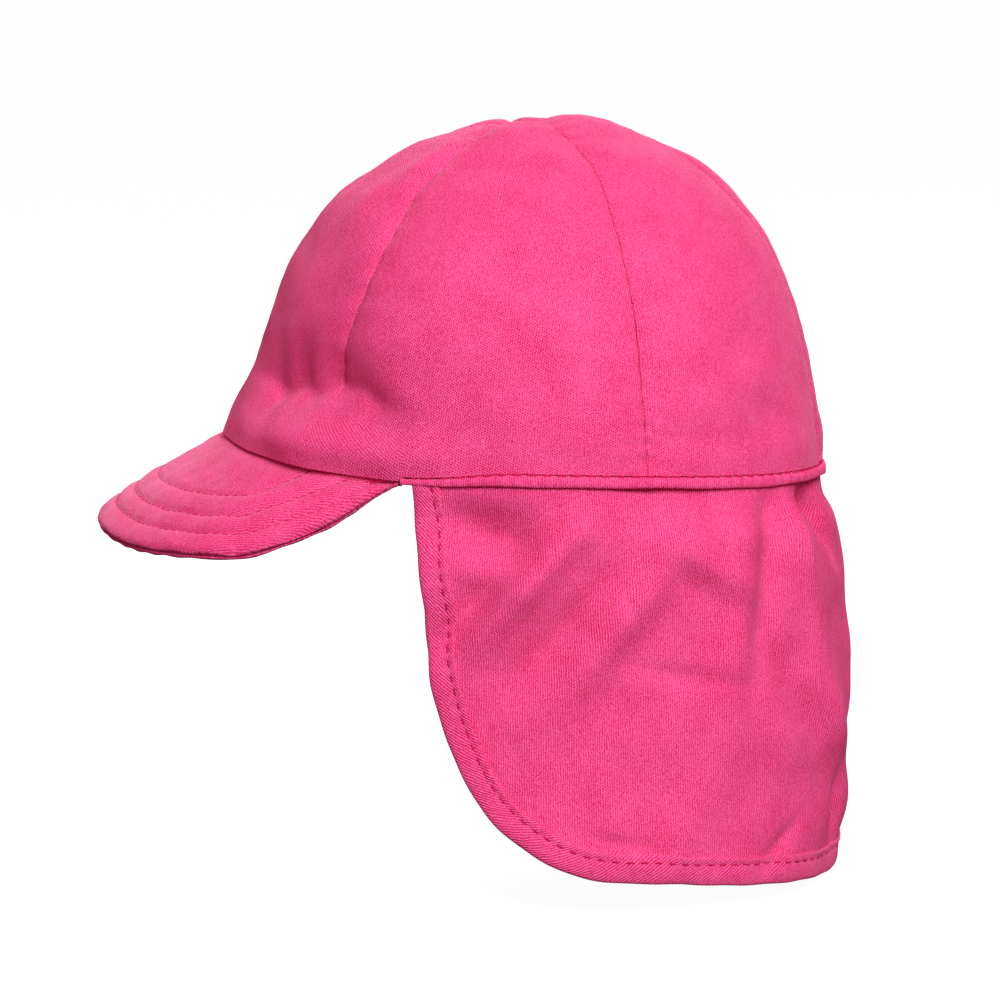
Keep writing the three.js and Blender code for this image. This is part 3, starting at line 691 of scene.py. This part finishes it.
FLAP_IN_BINDING = 2.2  # how far inside the finished edge the flap's raw edge lies
side_shares = np.linspace(0, FRONT_EDGE_SHARE, FLAP_ROWS + 1)
foot_shares = np.linspace(FRONT_EDGE_SHARE, 1 - FRONT_EDGE_SHARE, FLAP_COLUMNS + 1)
left = np.stack(inside_edge(side_shares, FLAP_IN_BINDING), -1)[:, None]
right = np.stack(inside_edge(1 - side_shares, FLAP_IN_BINDING), -1)[:, None]
foot = np.stack(inside_edge(foot_shares, FLAP_IN_BINDING), -1)[None]
i = np.linspace(0, 1, FLAP_COLUMNS + 1)[None, :, None]
j = np.linspace(0, 1, FLAP_ROWS + 1)[:, None, None]
flap_flat = left * (1 - i) + right * i + (foot - left[-1] * (1 - i) - right[-1] * i) * j
flap_outer = flap_offset(flap_flat[..., 0], flap_flat[..., 1], FLAP_CLOTH / 2)
flap_inner = flap_offset(flap_flat[..., 0], flap_flat[..., 1], -FLAP_CLOTH / 2)
flap = wall("flap", flap_outer, flap_inner, flap_flat, knit)
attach(flap, "root")
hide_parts("neck_flap")

# Flap binding
# A strip of ribbed jersey cut on the slant, folded over the flap's raw edge and stitched near its inner
# fold. The stitching sinks into it and it bulges a little on both sides of the line.
BINDING_STITCH = 5.9  # in from the outer edge
BINDING_TOP_DROP = 0.1  # under the hem's lip
BINDING_PINCH = 0.13
BINDING_PINCH_REACH = 1.6
BINDING_WAVERS = [(0.07, 2.3, 0), (0.09, 6.1, 2)]
BINDING_STATIONS = 1000

# Out from the flap's middle and in from the finished edge, on the outside of the fold.
BINDING_FACE = [
    (0.45, 0.0), (1.0, 0.22), (1.34, 0.75), (1.52, 1.6), (1.58, 2.7), (1.5, 3.9),
    (1.34, 5.0), (1.16, 5.7), (1.12, 6.0), (1.3, 6.5), (1.42, 7.1), (1.3, 7.7),
    (1.0, 8.0), (0.72, 7.9), (0.68, 7.4), (0.68, 1.8),
]
# Its deep end is paler than the other knits': painted light against the shade on its rounded face.
binding_knit = knit_material(
    "binding knit", light=LIGHT_PINK, dark=(0.68, 0.012, 0.11),
    wale=0.9, slant=-0.8, twill=0.1, relief=1.0, sheen=0.15,
)
binding_shares = np.linspace(0, 1, BINDING_STATIONS)
binding_run = binding_shares * 2 * edge_run[-1]
binding_section = BINDING_FACE + [(-out, inward) for out, inward in reversed(BINDING_FACE)]
uneven = wavering(binding_run, BINDING_WAVERS)
pinched = BINDING_PINCH * np.cos(2 * math.pi * binding_run / STITCH_PITCH)
binding_rings = []
for out, inward in binding_section:
    near_stitch = bell((inward - BINDING_STITCH) / BINDING_PINCH_REACH) * (abs(out) > 0.9)
    pinch = near_stitch * pinched * np.sign(out)
    x, y = inside_edge(binding_shares, inward + uneven * (inward > 7 or inward < 1))
    binding_rings.append(flap_offset(x, np.maximum(y, BINDING_TOP_DROP), out + pinch))
binding_rings = np.stack(binding_rings, 1)
section = np.array(binding_section)
section_run = np.concatenate([[0], np.cumsum(np.linalg.norm(np.diff(section, axis=0), axis=1))])
binding_flat = np.stack(np.broadcast_arrays(section_run[None, :], binding_run[:, None]), -1)
binding = bar("binding", binding_rings, binding_flat, binding_knit)
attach(binding, "root")
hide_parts("flap_binding")

# Peak
# A soft peak: jersey over thin padding, quilted in rows that follow its outer edge, over a plain facing
# whose edge rolls out as a thin wavy lip below. Its seam lies under the crown's front edge.
PEAK_REACH = 37
PEAK_DROP = 28
PEAK_PAD = 2.1
PEAK_FACING = 0.9
PEAK_EDGE_ROUND = 1.8
PEAK_END_TAPER = 0.12  # share of the half peak over which it thins towards its end
PEAK_TUCK = 1.3
PEAK_TIP = 1.4
PEAK_SEAM_GAP = 0.06
PEAK_SWELL = 0.8
PEAK_SEAM_DIP = 0.8
PEAK_DIP_REACH = 2.4
PEAK_SIDE_DIP = 1.4  # how much is added to that dip towards the peak's ends
PEAK_END_FLAT = 0.07
PEAK_SEAM_FLAT = 0.12
PEAK_UNDER_TURN = 0.15  # how much of the upper face's turn the lower face takes
PEAK_UNEVEN = [(0.14, 16, 31), (0.06, 6, 32)]
FACING_GAP = 0.05
LIP_WIDTH = 0.3
LIP_WAVE = 0.25
QUILT_ROWS = (7, 13.6, 21.5)  # in from the edge
QUILT_DEPTH = 0.75
QUILT_WIDTH = 0.8
QUILT_PUFF = 0.36
QUILT_CALM = 0.45  # how much flatter the quilting is where the peak bends most, in the middle
QUILT_CALM_SPREAD = 0.35
QUILT_NEARER = [(0.07, 0.4, 0.7), (0.35, 0.72, 0.95)]  # how much nearer the edge at the peak's ends
PEAK_COLUMNS = 260
PEAK_ROWS = 80

PEAK_FORWARD = [1.0, 0.985, 0.96, 0.925, 0.88, 0.829, 0.76, 0.671, 0.53, 0.251, 0.0]
PEAK_SPREAD = [0.0, 0.073, 0.16, 0.225, 0.28, 0.329, 0.36, 0.376, 0.34, 0.169, 0.0]
PEAK_FALL = [0.835, 0.845, 0.855, 0.86, 0.865, 0.855, 0.82, 0.78, 0.72, 0.44, 0.0]


def peak_seam(across):
    point = rim_point(PEAK_SEAM_ANGLE * across, -PEAK_TUCK)
    point[..., 2] -= PEAK_SEAM_GAP
    return point


def peak_edge(across):
    ends = np.abs(across)
    point = peak_seam(across)
    point[..., 0] += np.sign(across) * PEAK_REACH * through_rows(PEAK_SPREAD, ends)
    point[..., 1] -= PEAK_REACH * through_rows(PEAK_FORWARD, ends) + PEAK_TIP
    point[..., 2] -= PEAK_DROP * through_rows(PEAK_FALL, ends)
    return point


def peak_surface(across, along):
    return peak_seam(across) * (1 - along[..., None]) + peak_edge(across) * along[..., None]


def peak_normal(across, along):
    step = 0.01
    side = peak_surface(across + step, along) - peak_surface(across - step, along)
    forward = peak_surface(across, along + step) - peak_surface(across, along - step)
    return unit(np.cross(forward, side))


peak_edge_points = peak_edge(np.linspace(-1, 1, 801))


def from_peak_edge(points, across):
    """How far in from the edge a point lies, as the quilting counts it."""
    flat = points.reshape(-1, 3)
    nearest = np.concatenate([
        np.linalg.norm(flat[k:k + 2000, None] - peak_edge_points[None], axis=-1).min(1)
        for k in range(0, len(flat), 2000)
    ])
    nearer = sum(share * smooth(np.abs(across), low, high) for share, low, high in QUILT_NEARER)
    return nearest.reshape(points.shape[:-1]) / (1 - nearer)


def quilting(points, inward, across):
    """How far the upper cloth stands above the plain surface: puffs between the rows of stitching."""
    rise = 0
    for row in QUILT_ROWS:
        rise = rise - QUILT_DEPTH * np.exp(-np.abs((inward - row) / QUILT_WIDTH) ** 1.3)
    lines = [0.0, *QUILT_ROWS]
    for near, far in zip(lines, lines[1:]):
        rise = rise + QUILT_PUFF * np.sin(math.pi * np.clip((inward - near) / (far - near), 0, 1))
    rise *= 1 - QUILT_CALM * bell(across / QUILT_CALM_SPREAD)
    return rise + sum(height * soft_waves(points, size, seed) for height, size, seed in PEAK_UNEVEN)


peak_i = np.linspace(-1, 1, PEAK_COLUMNS + 1)
peak_j = 1 - (1 - np.linspace(0, 1, PEAK_ROWS + 1)) ** 1.35
peak_across, peak_along = np.meshgrid(peak_i, peak_j)
peak_plain = peak_surface(peak_across, peak_along)
peak_up = peak_normal(peak_across, peak_along)
peak_inward = from_peak_edge(peak_plain, peak_across)
from_end = 1 - np.abs(peak_across)
peak_thin = 0.4 + 0.6 * smooth(from_end, 0, PEAK_END_TAPER)
peak_fade = smooth(from_end, 0, PEAK_END_FLAT) * smooth(peak_along, 0, PEAK_SEAM_FLAT)
pad = PEAK_PAD * peak_thin
turn = edge_turn(peak_inward, PEAK_EDGE_ROUND) * pad / 2
from_seam = peak_along * np.linalg.norm(peak_edge(peak_across) - peak_seam(peak_across), axis=-1)
dip = PEAK_SEAM_DIP * (1 + PEAK_SIDE_DIP * smooth(np.abs(peak_across), 0.4, 0.75))
swell = PEAK_SWELL * np.sin(math.pi * peak_along) - dip * bell(from_seam / PEAK_DIP_REACH)
peak_rise = (quilting(peak_plain, peak_inward, peak_across) + swell) * peak_fade - turn
peak_top_face = peak_plain + peak_up * peak_rise[..., None]
peak_bottom_face = peak_plain - peak_up * (pad - PEAK_UNDER_TURN * turn)[..., None]

# The peak's cloth laid flat. Its wales run forward, so the flat width should grow by each step's share
# across them, and a smooth function of the peak's two directions is fitted to that.
wale_run = unit(np.array([0, -1, 0]) + peak_up * peak_up[..., 1:2])
course_run = np.cross(peak_up, wale_run)
powers = [(odd, even) for odd in (1, 3, 5, 7, 9) for even in (0, 1, 2, 3)]
terms = np.stack([peak_across**odd * peak_along**even for odd, even in powers], -1)
step_terms, steps = [], []
for axis in (0, 1):
    courses = np.delete(course_run, -1, axis) + np.diff(course_run, axis=axis) / 2
    steps.append((np.diff(peak_plain, axis=axis) * courses).sum(-1).ravel())
    step_terms.append(np.diff(terms, axis=axis).reshape(-1, len(powers)))
weights = np.linalg.lstsq(np.concatenate(step_terms), np.concatenate(steps), rcond=None)[0]
peak_flat = np.stack([terms @ weights, -1.25 * peak_plain[..., 1]], -1)
peak_knit = knit_material(
    "pink peak knit", light=LIGHT_PINK, dark=DEEP_PINK,
    wale=0.62, slant=0.0, twill=0.25, relief=0.7, sheen=0.3,
)
peak_top = wall("peak_upper", peak_top_face, peak_bottom_face, peak_flat, peak_knit)
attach(peak_top, "root")
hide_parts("peak_top")

lip = LIP_WIDTH * smooth(peak_along, 0.85, 1.0)
peak_run = along_grid(peak_plain, 1)
lip_wave = LIP_WAVE * np.sin(peak_run / 1.7 + 2 * np.sin(peak_run / 11))
outward = peak_edge(peak_across) - peak_seam(peak_across)
outward /= np.maximum(np.linalg.norm(outward, axis=-1, keepdims=True), 1e-6)
facing_plain = peak_plain + outward * (lip * (1 + lip_wave) * peak_fade)[..., None]
facing_wave = (lip_wave * smooth(peak_along, 0.6, 1.0) * peak_fade)[..., None]
facing_upper = facing_plain - peak_up * (pad + FACING_GAP)[..., None]
facing_depth = (pad + FACING_GAP + PEAK_FACING * peak_thin)[..., None] + 0.6 * facing_wave
facing_lower = facing_plain - peak_up * facing_depth
peak_facing = wall("peak_under", facing_upper, facing_lower, peak_flat, knit)
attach(peak_facing, "root")
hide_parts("peak_facing")

# Stitching
# One pink polyester thread throughout: a line along the hem's upper edge, one near the binding's inner
# fold and the quilting rows of the peak. Each stitch is a short rounded length pulled into the cloth.
STITCH_LENGTH = 2.6
STITCH_THICKNESS = 0.6
HEM_STITCH_LENGTH = 2.4
HEM_STITCH_THICKNESS = 0.72
QUILT_STITCH_PITCH = 3.2
QUILT_STITCH_LENGTH = 2.3
QUILT_STITCH_THICKNESS = 0.3
BINDING_STITCH_SEAT = 1.12  # out from the flap's middle
thread = bpy.data.materials.new("pink thread")
thread.use_nodes = True
thread_shader = thread.node_tree.nodes["Principled BSDF"]
thread_place = add_node(thread.node_tree, "ShaderNodeTexCoord").outputs["Object"]
thread_noise = add_node(
    thread.node_tree, "ShaderNodeTexNoise", {"Vector": thread_place, "Scale": 900.0}
).outputs[0]
# The thread is a deeper red than the cloth, as painted shade of the grooves the stitches sink into.
thread_color = add_node(
    thread.node_tree, "ShaderNodeMix",
    {"Factor": thread_noise, "A": (0.4, 0.004, 0.05, 1), "B": (0.6, 0.012, 0.1, 1)}, data_type="RGBA",
).outputs[2]
thread.node_tree.links.new(thread_color, thread_shader.inputs["Base Color"])
thread_shader.inputs["Roughness"].default_value = 0.8
thread_shader.inputs["Specular IOR Level"].default_value = 0.15

stitching = bpy.data.node_groups.new("stitching", "GeometryNodeTree")
for label, kind in [
    ("Line", "Geometry"),
    ("Pitch", "Float"),
    ("Length", "Float"),
    ("Thickness", "Float"),
    ("Thread", "Material"),
]:
    stitching.interface.new_socket(label, in_out="INPUT", socket_type=f"NodeSocket{kind}")
stitching.interface.new_socket("Stitches", in_out="OUTPUT", socket_type="NodeSocketGeometry")
given = add_node(stitching, "NodeGroupInput").outputs
line = add_node(stitching, "GeometryNodeMeshToCurve", {"Mesh": given["Line"]}).outputs[0]
spaced = add_node(
    stitching, "GeometryNodeResampleCurve", {"Curve": line, "Length": given["Pitch"]}, mode="LENGTH"
).outputs[0]
size = add_node(
    stitching, "ShaderNodeCombineXYZ",
    {0: given["Length"], 1: given["Thickness"], 2: given["Thickness"]},
).outputs[0]
bead = add_node(stitching, "GeometryNodeMeshUVSphere", {"Segments": 8, "Rings": 7, "Radius": 0.5})
turned_bead = add_node(
    stitching, "GeometryNodeTransform",
    {"Geometry": bead.outputs[0], "Rotation": (0, math.pi / 2, 0)},
).outputs[0]
tangent = add_node(stitching, "GeometryNodeInputTangent").outputs[0]
facing = add_node(
    stitching, "GeometryNodeInputNamedAttribute", {"Name": "facing"}, data_type="FLOAT_VECTOR"
).outputs[0]
turn_along = add_node(
    stitching, "FunctionNodeAlignRotationToVector", {"Vector": tangent}, axis="X"
).outputs[0]
turn_out = add_node(
    stitching, "FunctionNodeAlignRotationToVector", {"Rotation": turn_along, "Vector": facing},
    axis="Z", pivot_axis="X",
).outputs[0]
placed = add_node(
    stitching, "GeometryNodeInstanceOnPoints",
    {"Points": spaced, "Instance": turned_bead, "Rotation": turn_out, "Scale": size},
).outputs[0]
real = add_node(stitching, "GeometryNodeRealizeInstances", {0: placed}).outputs[0]
rounded = add_node(stitching, "GeometryNodeSetShadeSmooth", {"Geometry": real}).outputs[0]
threaded = add_node(
    stitching, "GeometryNodeSetMaterial", {"Geometry": rounded, "Material": given["Thread"]}
).outputs[0]
add_node(stitching, "NodeGroupOutput", {"Stitches": threaded})


def stitch_line(
    name, points, facing_out, pitch=STITCH_PITCH, length=STITCH_LENGTH, thick=STITCH_THICKNESS
):
    """Stitches along a line of points in millimetres, each lying flat on the cloth."""
    mesh = bpy.data.meshes.new(name + "_line")
    mesh.from_pydata((points * MM).tolist(), [(k, k + 1) for k in range(len(points) - 1)], [])
    mesh.attributes.new("facing", "FLOAT_VECTOR", "POINT").data.foreach_set(
        "vector", facing_out.astype(np.float32).ravel()
    )
    guide = bpy.data.objects.new(name + "_line", mesh)
    bpy.context.scene.collection.objects.link(guide)
    modifier = guide.modifiers.new("stitching", "NODES")
    modifier.node_group = stitching
    values = {"Pitch": pitch * MM, "Length": length * MM, "Thickness": thick * MM, "Thread": thread}
    for item in stitching.interface.items_tree:
        if item.in_out == "INPUT" and item.name in values:
            modifier[item.identifier] = values[item.name]
    bpy.context.view_layer.update()
    evaluated = guide.evaluated_get(bpy.context.evaluated_depsgraph_get())
    result = bpy.data.meshes.new_from_object(evaluated)
    result.name = name
    piece = bpy.data.objects.new(name, result)
    bpy.context.scene.collection.objects.link(piece)
    bpy.data.objects.remove(guide)
    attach(piece, "root")
    return piece


hem_line_angles = np.linspace(PEAK_SEAM_ANGLE + 3, 357 - PEAK_SEAM_ANGLE, 800)
hem_line = rim_point(hem_line_angles, -0.1)
hem_line[:, 2] += hem_level(hem_line_angles, HEM_HEIGHT)
hem_facing = unit(rim_point(hem_line_angles, 1) - rim_point(hem_line_angles))
stitch_line(
    "hem_stitches", hem_line, hem_facing,
    length=HEM_STITCH_LENGTH, thick=HEM_STITCH_THICKNESS,
)

line_shares = np.linspace(0.006, 0.994, 1200)
x, y = inside_edge(line_shares, BINDING_STITCH)
y = np.maximum(y, BINDING_TOP_DROP)
for label, offset in [("outer", BINDING_STITCH_SEAT), ("inner", -BINDING_STITCH_SEAT)]:
    seat = flap_offset(x, y, offset)
    seat_facing = unit(seat - flap_offset(x, y, 0))
    stitch_line(f"binding_stitches_{label}", seat, seat_facing)

for number, row in enumerate(QUILT_ROWS):
    seats, facings = [], []
    for column in range(PEAK_COLUMNS + 1):
        inward = peak_inward[:, column]
        crossings = np.nonzero((inward[:-1] - row) * (inward[1:] - row) <= 0)[0]
        if len(crossings) == 0:
            continue
        k = crossings[-1]
        f = (inward[k] - row) / (inward[k] - inward[k + 1])
        seats.append(peak_top_face[k, column] * (1 - f) + peak_top_face[k + 1, column] * f)
        facings.append(peak_up[k, column])
    stitch_line(
        f"quilting_{number + 1}", np.array(seats), np.array(facings),
        pitch=QUILT_STITCH_PITCH, length=QUILT_STITCH_LENGTH, thick=QUILT_STITCH_THICKNESS,
    )

# Floor and light
# A white floor that the light hardly shades, and a soft studio: a wide key lamp near the camera, a
# small one in front and one on the far side. The surround is pink, like light from the cap's own cloth.
FLOOR_DROP = 4
FLOOR_REACH = 12
SKY_LIGHT = 0.54
GROUND_LIGHT = 0.06
floor_level = cad_box[0][2] - FLOOR_DROP * MM
floor_corners = [
    (FLOOR_REACH * x, FLOOR_REACH * y, floor_level) for x, y in [(-1, -1), (1, -1), (1, 1), (-1, 1)]
]
floor_mesh = bpy.data.meshes.new("floor")
floor_mesh.from_pydata(floor_corners, [], [(0, 1, 2, 3)])
floor = bpy.data.objects.new("floor", floor_mesh)
bpy.context.scene.collection.objects.link(floor)
floor_paint = bpy.data.materials.new("white floor")
floor_paint.use_nodes = True
floor_shader = floor_paint.node_tree.nodes["Principled BSDF"]
floor_shader.inputs["Base Color"].default_value = (0.22, 0.22, 0.22, 1)
floor_shader.inputs["Roughness"].default_value = 1.0
floor_shader.inputs["Specular IOR Level"].default_value = 0.0
floor_shader.inputs["Emission Color"].default_value = (0.94, 0.97, 0.96, 1)
floor_shader.inputs["Emission Strength"].default_value = 0.98
floor.visible_diffuse = False
floor.visible_glossy = False
floor_mesh.materials.append(floor_paint)

world = bpy.data.worlds.new("studio")
world.use_nodes = True
world_nodes = world.node_tree
world_nodes.nodes.clear()
heading = add_node(world_nodes, "ShaderNodeTexCoord").outputs["Generated"]
height = add_node(world_nodes, "ShaderNodeSeparateXYZ", {0: heading}).outputs[2]
strength = add_node(
    world_nodes, "ShaderNodeMapRange",
    {"Value": height, "From Min": -1.0, "From Max": 1.0, "To Min": GROUND_LIGHT, "To Max": SKY_LIGHT},
).outputs[0]
surround = add_node(
    world_nodes, "ShaderNodeBackground", {"Color": (1, 0.37, 0.6, 1), "Strength": strength}
).outputs[0]
backdrop = add_node(
    world_nodes, "ShaderNodeBackground", {"Color": (1, 1, 1, 1), "Strength": 1.05}
).outputs[0]
seen = add_node(world_nodes, "ShaderNodeLightPath").outputs["Is Camera Ray"]
mixed = add_node(world_nodes, "ShaderNodeMixShader", {0: seen, 1: surround, 2: backdrop}).outputs[0]
add_node(world_nodes, "ShaderNodeOutputWorld", {0: mixed})
bpy.context.scene.world = world


def soft_lamp(name, azimuth, elevation, distance, size, power, color=(1, 1, 1)):
    back = direction(azimuth, elevation)
    data = bpy.data.lights.new(name, "AREA")
    data.shape = "DISK"
    data.size = size
    data.energy = power
    data.color = color
    lamp = bpy.data.objects.new(name, data)
    lamp.location = back * distance
    lamp.rotation_euler = back.to_track_quat("Z", "Y").to_euler()
    bpy.context.scene.collection.objects.link(lamp)


soft_lamp("key", azimuth=115, elevation=30, distance=1.6, size=0.7, power=29, color=(0.96, 1, 1))
soft_lamp("edge", azimuth=-45, elevation=36, distance=1.6, size=0.5, power=7)
soft_lamp("far", azimuth=267, elevation=24, distance=1.6, size=0.7, power=17)

scene = bpy.context.scene
scene.view_settings.view_transform = "Standard"
scene.view_settings.look = "None"
scene.view_settings.exposure = 0
scene.view_settings.gamma = 1

bpy.context.view_layer.update()
